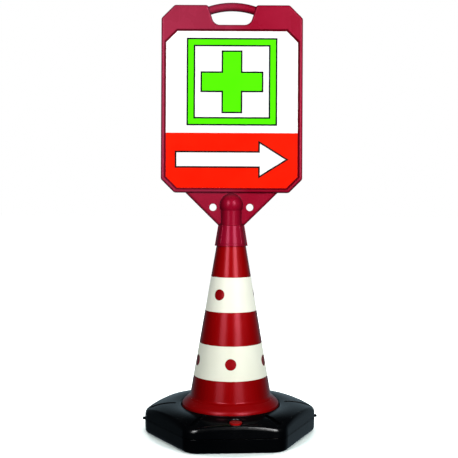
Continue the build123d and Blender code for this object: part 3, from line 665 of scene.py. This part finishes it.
sign_tree = sign_crimson.node_tree
on_board = along(sign_crimson, "Z", BOARD_FOOT - BOARD_BLUR, BOARD_FOOT + BOARD_BLUR)
on_web = along(sign_crimson, "Y", WEB_LIMIT + WEB_BLUR, WEB_LIMIT - WEB_BLUR, both_ways=True)
on_flats = arithmetic(sign_tree, "MAXIMUM", on_board, on_web)
web_sheen = arithmetic(sign_tree, "MULTIPLY", on_web, WEB_SHEEN_SHARE)
left_sheen = arithmetic(sign_tree, "MAXIMUM", on_board, web_sheen)
left_sheen = arithmetic(sign_tree, "MULTIPLY", left_sheen, along(sign_crimson, "X", LEFT_SHEEN_START, LEFT_SHEEN_FULL))
# Painted sheen: a pinker tint added towards the left of the board and web.
drift(sign_crimson, left_sheen, PAINTED_LEFT_SHEEN, "ADD")
roughen(sign_crimson, arithmetic(sign_tree, "SUBTRACT", 1.0, on_flats), SOCKET_POLISH)
print("height of the board's foot, m:", BOARD_FOOT)

# %% [markdown]
# The sloped rims of the two recesses are painted darker, as painted shade, which draws a dark line
# round the print. The mask is a box a little larger than the print, under the face of the board, so
# that it stays right if the print's size changes.

# %% Painted shade in the rims of the board's recesses
RECESS_SHADE = (0.52, 0.22, 0.33, 1)
RECESS_REACH = 0.0054  # of the sloped rim beyond the print
RECESS_BLUR = 0.0006
BOARD_HALF_DEPTH = 0.018
SHADE_DROP = 0.0002  # of the painted shade under the board's face

print_low, print_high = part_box("front_print")
side_end = print_high.x + RECESS_REACH
foot_end = print_low.z - RECESS_REACH
top_end = print_high.z + RECESS_REACH
shade_face = BOARD_HALF_DEPTH - SHADE_DROP
recess_shade = along(sign_crimson, "X", side_end, side_end - RECESS_BLUR, both_ways=True)
for limit in (
    along(sign_crimson, "Z", foot_end, foot_end + RECESS_BLUR),
    along(sign_crimson, "Z", top_end, top_end - RECESS_BLUR),
    along(sign_crimson, "Y", shade_face, shade_face - RECESS_BLUR, both_ways=True),
):
    recess_shade = arithmetic(sign_tree, "MULTIPLY", recess_shade, limit)
# Painted shade: the recess rims are darkened.
drift(sign_crimson, recess_shade, RECESS_SHADE, "MULTIPLY")
print("recess height, m:", round(top_end - foot_end, 4))

# %% [markdown]
# The screw plug of the tank's filler is as red as the cone, but duller, and a ring of soft black
# rubber seals it.

# %% Plug and seal
plug_red = moulded_plastic(
    "plug_red",
    deep=(0.26, 0.0008, 0.0008),
    pale=(0.29, 0.0012, 0.0012),
    painted_grazing_tone=(0.12, 0.0004, 0.0004),
    rubbed_tone=(0.32, 0.02, 0.02),
    gloss=(0.26, 0.36),
    grains=1500.0,
    depth=0.00006,
    dusting=0.06,
    handling=0.6,
    edge=0.0005,
)
tint_shine(plug_red, CONE_SHINE, CONE_SHINE_LEVEL)
seal_rubber = moulded_plastic(
    "seal_rubber",
    deep=(0.018, 0.018, 0.018),
    pale=(0.030, 0.029, 0.028),
    painted_grazing_tone=(0.018, 0.018, 0.018),
    rubbed_tone=(0.06, 0.06, 0.06),
    gloss=(0.62, 0.75),
    grains=2200.0,
    depth=0.00008,
    dusting=0.25,
    handling=0.3,
    edge=0.0004,
)
print("finishes:", plug_red.name, seal_rubber.name)

# %% [markdown]
# Two finishes are hardly seen. The pale bush between cone and sign goes up with the sign, and
# shows only from below. The rivets' caps inside the cone and the clamp's ring under the tank are
# plain black.

# %% Bush and hidden parts
bush_ivory = moulded_plastic(
    "bush_ivory",
    deep=(0.62, 0.60, 0.52),
    pale=(0.70, 0.68, 0.60),
    painted_grazing_tone=(0.55, 0.53, 0.46),
    rubbed_tone=(0.76, 0.74, 0.68),
    gloss=(0.38, 0.48),
    grains=1800.0,
    depth=0.00005,
    dusting=0.10,
    handling=0.9,
    edge=0.0006,
)
hidden_black = moulded_plastic(
    "hidden_black",
    deep=(0.016, 0.016, 0.016),
    pale=(0.026, 0.026, 0.026),
    painted_grazing_tone=(0.014, 0.014, 0.014),
    rubbed_tone=(0.07, 0.07, 0.07),
    gloss=(0.45, 0.58),
    grains=1200.0,
    depth=0.00010,
    dusting=0.20,
    handling=0.5,
    edge=0.0006,
)
print("finishes:", bush_ivory.name, hidden_black.name)

# %% [markdown]
# Two finishes aren't plastic. The clamp's screws and washers are zinc-plated steel, whose plating
# shows small crystal patches of different gloss. A cell pattern gives each patch its own number,
# which sets its tone, its gloss and its height.

# %% Zinc
CRYSTALS_PER_METRE = 1500.0
CRYSTAL_HEIGHT = 0.00003
ZINC_TONES = ((0.52, 0.53, 0.55, 1), (0.66, 0.66, 0.65, 1))
ZINC_GLOSS = (0.24, 0.42)
ZINC_HANDLING = 0.8
ZINC_DULLING = 0.2  # added roughness under a rub mark

zinc, zinc_tree, zinc_shader = start_finish("screw_zinc")
zinc_point = surface_point(zinc_tree)
crystals = place(zinc_tree, "TexVoronoi", {"Vector": zinc_point, "Scale": CRYSTALS_PER_METRE})
crystal = place(zinc_tree, "SeparateColor", {0: crystals.outputs["Color"]}).outputs[0]
zinc_marks = use_group(zinc_tree, "rub_marks", {"Amount": ZINC_HANDLING})["Mask"]
zinc_rough = remap(zinc_tree, crystal, 0.0, 1.0, *ZINC_GLOSS)
zinc_bump = place(zinc_tree, "Bump", {"Height": crystal, "Distance": CRYSTAL_HEIGHT})
zinc_inputs = {
    "Metallic": 1.0,
    "Base Color": mix_colours(zinc_tree, crystal, *ZINC_TONES),
    "Roughness": arithmetic(zinc_tree, "MULTIPLY_ADD", zinc_marks, ZINC_DULLING, zinc_rough),
    "Normal": zinc_bump.outputs[0],
}
fill(zinc_tree, zinc_shader, zinc_inputs)
print("finish:", zinc.name)

# %% [markdown]
# The ballast is dry sand. Its grains are cells too: each has its own tone and rounds off at its
# border, because the cell's height falls with the distance from its middle.

# %% Sand
SAND_GRAINS_PER_METRE = 1100.0
GRAIN_FALL = -0.0006
SAND_TONES = ((0.32, 0.24, 0.15, 1), (0.58, 0.48, 0.34, 1))
SAND_DRIFT = (0.40, 0.32, 0.21, 1)
SAND_GLOSS = (0.75, 0.95)

sand, sand_tree, sand_shader = start_finish("dry_sand")
sand_point = surface_point(sand_tree)
cells = place(sand_tree, "TexVoronoi", {"Vector": sand_point, "Scale": SAND_GRAINS_PER_METRE})
cell = place(sand_tree, "SeparateColor", {0: cells.outputs["Color"]}).outputs[0]
sand_patch = use_group(sand_tree, "mould_grain")["Patch"]
sand_tone = mix_colours(sand_tree, cell, *SAND_TONES)
sand_bump_inputs = {"Height": cells.outputs["Distance"], "Distance": GRAIN_FALL}
sand_inputs = {
    "Base Color": mix_colours(sand_tree, sand_patch, sand_tone, SAND_DRIFT),
    "Roughness": remap(sand_tree, cell, 0.0, 1.0, *SAND_GLOSS),
    "Normal": place(sand_tree, "Bump", sand_bump_inputs).outputs[0],
}
fill(sand_tree, sand_shader, sand_inputs)
print("finish:", sand.name)

# %% [markdown]
# ## Finishes on the measured pieces
# A measured piece keeps its mesh. Only its material slot changes, so the list below is all it takes
# to dress the stand, the sign and the plug.

# %% Dress the measured pieces
FINISHES = {
    "base_tank": tank_black,
    "ballast": sand,
    "filler_plug": plug_red,
    "plug_seal": seal_rubber,
    "cone_body": cone_red,
    "upper_band": band_cream,
    "lower_band": band_cream,
    "upper_rivets": rivet_red,
    "lower_rivets": rivet_red,
    "upper_rivet_caps": hidden_black,
    "lower_rivet_caps": hidden_black,
    "clamp_ring": hidden_black,
    "clamp_screws": zinc,
    "clamp_washers": zinc,
    "socket_bush": bush_ivory,
    "sign_body": sign_crimson,
}
for node_name, finish in FINISHES.items():
    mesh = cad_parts[node_name].data
    mesh.materials.clear()
    mesh.materials.append(finish)
print("dressed:", len(FINISHES))

# %% [markdown]
# ## Printed sheets
# A printed sheet of white plastic lies in the recess on each side of the board. The inks could be
# painted by a texture, but a cut line is sharper and the shapes then exist as geometry too: the
# sheet is a plane whose corners are cut, sliced along every edge of the artwork, and each slice
# takes the ink that lies there. An ink is satin and hardly shines, with a slight mottle, the
# sheet's fine tooth and a few rub marks.

# %% Inks
TOOTH_PER_METRE = 2500.0
TOOTH_HEIGHT = 0.00003
MOTTLES_PER_METRE = 20.0
INK_HANDLING = 0.4
INK_DULLING = 0.2  # added roughness under a rub mark
INK_SHINE_LEVEL = 0.02


def printed_ink(name, deep, pale, gloss):
    """Finish of one ink, between two near tones and two degrees of roughness."""
    finish, tree, shader = start_finish(name)
    skin_inputs = {"Grains per metre": TOOTH_PER_METRE, "Patches per metre": MOTTLES_PER_METRE}
    skin = use_group(tree, "mould_grain", skin_inputs)
    marks = use_group(tree, "rub_marks", {"Amount": INK_HANDLING})["Mask"]
    rough = remap(tree, skin["Patch"], 0.0, 1.0, *gloss)
    bump = place(tree, "Bump", {"Height": skin["Height"], "Distance": TOOTH_HEIGHT})
    shader_inputs = {
        "Specular IOR Level": INK_SHINE_LEVEL,
        "Base Color": mix_colours(tree, skin["Patch"], (*deep, 1), (*pale, 1)),
        "Roughness": arithmetic(tree, "MULTIPLY_ADD", marks, INK_DULLING, rough),
        "Normal": bump.outputs[0],
    }
    fill(tree, shader, shader_inputs)
    return finish


INKS = {
    "white": printed_ink("sheet_white", (0.73, 0.73, 0.73), (0.76, 0.76, 0.76), (0.38, 0.46)),
    "black": printed_ink("ink_black", (0.004, 0.005, 0.004), (0.007, 0.007, 0.007), (0.34, 0.42)),
    "green": printed_ink("ink_green", (0.066, 0.72, 0.0002), (0.072, 0.75, 0.0005), (0.36, 0.44)),
    "red": printed_ink("ink_red", (0.70, 0.0075, 0.0002), (0.73, 0.0095, 0.0005), (0.36, 0.44)),
}
print("inks:", list(INKS))

# %% [markdown]
# The artwork is a green cross in a green frame, over a red panel with a plain arrow. It is a list
# of shapes in painter's order, in millimetres: across from the middle of the sheet, and up from the
# floor. Each later shape covers the ones before it, so an outline is a black shape with a slightly
# smaller one on top.

# %% Artwork
MM_PER_METRE = 1000
OUTLINE = 4.1
FRAME_HALF = 112.5
FRAME_FOOT = 760.0
FRAME_TOP = 977.5
FRAME_WIDTH = 21.2
CROSS_HEIGHT = 868.5
CROSS_HALF = 78.0
ARM_HALF = 25.9
PANEL_TOP = 741.9
ARROW_HEIGHT = 676.0
ARROW_TAIL = -141.0
ARROW_NECK = 66.0
ARROW_TIP = 141.0
SHAFT_HALF = 21.0
HEAD_HALF = 47.0


def block(left, right, foot, top):
    """Corners of an upright rectangle, counter-clockwise."""
    return [(left, foot), (right, foot), (right, top), (left, top)]


def framed(inset):
    """The square frame's outline, drawn in by an inset."""
    half = FRAME_HALF - inset
    return block(-half, half, FRAME_FOOT + inset, FRAME_TOP - inset)


def cross_bars(inset):
    """The cross as an upright and a level bar, drawn in by an inset."""
    span = CROSS_HALF - inset
    arm = ARM_HALF - inset
    upright = block(-arm, arm, CROSS_HEIGHT - span, CROSS_HEIGHT + span)
    level = block(-span, span, CROSS_HEIGHT - arm, CROSS_HEIGHT + arm)
    return upright, level


def arrow_parts(inset):
    """The arrow as a shaft and a head, drawn in by an inset."""
    slope = HEAD_HALF / (ARROW_TIP - ARROW_NECK)
    tip = ARROW_TIP - inset / math.sin(math.atan(slope))
    neck = ARROW_NECK + inset
    half = (tip - neck) * slope
    shaft_half = SHAFT_HALF - inset
    shaft = block(ARROW_TAIL + inset, neck, ARROW_HEIGHT - shaft_half, ARROW_HEIGHT + shaft_half)
    head = [(neck, ARROW_HEIGHT - half), (tip, ARROW_HEIGHT), (neck, ARROW_HEIGHT + half)]
    return shaft, head


sheet_low, sheet_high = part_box("front_print")
panel = block(
    MM_PER_METRE * sheet_low.x,
    MM_PER_METRE * sheet_high.x,
    MM_PER_METRE * sheet_low.z,
    PANEL_TOP,
)
ARTWORK = [("black", framed(0)), ("green", framed(OUTLINE))]
ARTWORK += [("black", framed(FRAME_WIDTH - OUTLINE)), ("white", framed(FRAME_WIDTH))]
ARTWORK += [("black", bar) for bar in cross_bars(0)]
ARTWORK += [("green", bar) for bar in cross_bars(OUTLINE)]
ARTWORK += [("red", panel)]
ARTWORK += [("black", part) for part in arrow_parts(0)]
ARTWORK += [("white", part) for part in arrow_parts(OUTLINE)]
print("artwork shapes:", len(ARTWORK))

# %% [markdown]
# The sheet starts as a plane of the print's size. A bevel of its four corner points cuts the
# corners, and a bisect along each side of each shape slices it, as a knife would along a ruler. The
# cuts run right across the sheet, so there are more slices than shapes for now.


# %% Slice the sheet
def sides(shape):
    """Each side of a shape as its two end points."""
    return list(zip(shape, shape[1:] + shape[:1]))


SHEET_CORNER = 0.028
sheet_middle = (sheet_low + sheet_high) / 2
sheet_size = sheet_high - sheet_low
bpy.ops.mesh.primitive_plane_add(
    size=1, location=(sheet_middle.x, sheet_low.y, sheet_middle.z), rotation=(math.pi / 2, 0, 0)
)
front_sheet = bpy.context.object
front_sheet.name = "front_print_sheet"
front_sheet.scale = (sheet_size.x, sheet_size.z, 1)
bpy.ops.object.transform_apply(location=True, rotation=True, scale=True)
bpy.ops.object.mode_set(mode="EDIT")
bpy.ops.mesh.select_all(action="SELECT")
bpy.ops.mesh.bevel(offset=SHEET_CORNER, affect="VERTICES", segments=1)
for _, shape in ARTWORK:
    for (x0, z0), (x1, z1) in sides(shape):
        bpy.ops.mesh.select_all(action="SELECT")
        point = (x0 / MM_PER_METRE, sheet_low.y, z0 / MM_PER_METRE)
        square_to_side = Vector((z1 - z0, 0, x0 - x1)).normalized()
        bpy.ops.mesh.bisect(plane_co=point, plane_no=square_to_side)
bpy.ops.object.mode_set(mode="OBJECT")
print("slices:", len(front_sheet.data.polygons))

# %% [markdown]
# No slice crosses the side of a shape, so the ink at its middle is the ink of all of it. Neighbours
# of one ink are then joined again, and a Solidify modifier gives the sheet the thickness of the
# measured one. Its back and its cut edges stay white.


# %% Ink the slices and give the sheet its thickness
def covers(shape, across, up):
    """Whether a point lies inside a counter-clockwise shape."""
    return all(
        (x1 - x0) * (up - z0) - (z1 - z0) * (across - x0) > 0 for (x0, z0), (x1, z1) in sides(shape)
    )


def ink_at(across, up):
    """Name of the ink that lies on top at a point of the sheet."""
    ink = "white"
    for name, shape in ARTWORK:
        if covers(shape, across, up):
            ink = name
    return ink


FLAT_ANGLE = math.radians(1)  # under which two neighbours count as one flat face
FRONT_LIMIT = -0.5  # of a face's direction along Y: the front lies under it

for finish in INKS.values():
    front_sheet.data.materials.append(finish)
ink_numbers = {name: number for number, name in enumerate(INKS)}
for face in front_sheet.data.polygons:
    across = MM_PER_METRE * face.center.x
    up = MM_PER_METRE * face.center.z
    face.material_index = ink_numbers[ink_at(across, up)]
bpy.ops.object.mode_set(mode="EDIT")
bpy.ops.mesh.select_all(action="SELECT")
bpy.ops.mesh.dissolve_limited(angle_limit=FLAT_ANGLE, delimit={"MATERIAL"})
bpy.ops.object.mode_set(mode="OBJECT")
thickness = front_sheet.modifiers.new("sheet_thickness", "SOLIDIFY")
thickness.thickness = sheet_size.y
thickness.offset = -1
bpy.ops.object.modifier_apply(modifier=thickness.name)
for face in front_sheet.data.polygons:
    if face.normal.y > FRONT_LIMIT:
        face.material_index = ink_numbers["white"]
print("sheet faces:", len(front_sheet.data.polygons))

# %% [markdown]
# The back of the board carries the same print, so the finished sheet is copied and turned half
# round the cone's axis.

# %% Rear sheet
bpy.ops.object.duplicate()
rear_sheet = bpy.context.object
rear_sheet.name = "rear_print_sheet"
bpy.ops.transform.rotate(value=math.pi, orient_axis="Z", center_override=(0, 0, 0))
bpy.ops.object.transform_apply(location=True, rotation=True, scale=True)
for sheet, node_name in ((front_sheet, "front_print"), (rear_sheet, "rear_print")):
    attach(sheet, "sign")
    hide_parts(node_name)
print("sheets:", front_sheet.name, rear_sheet.name)
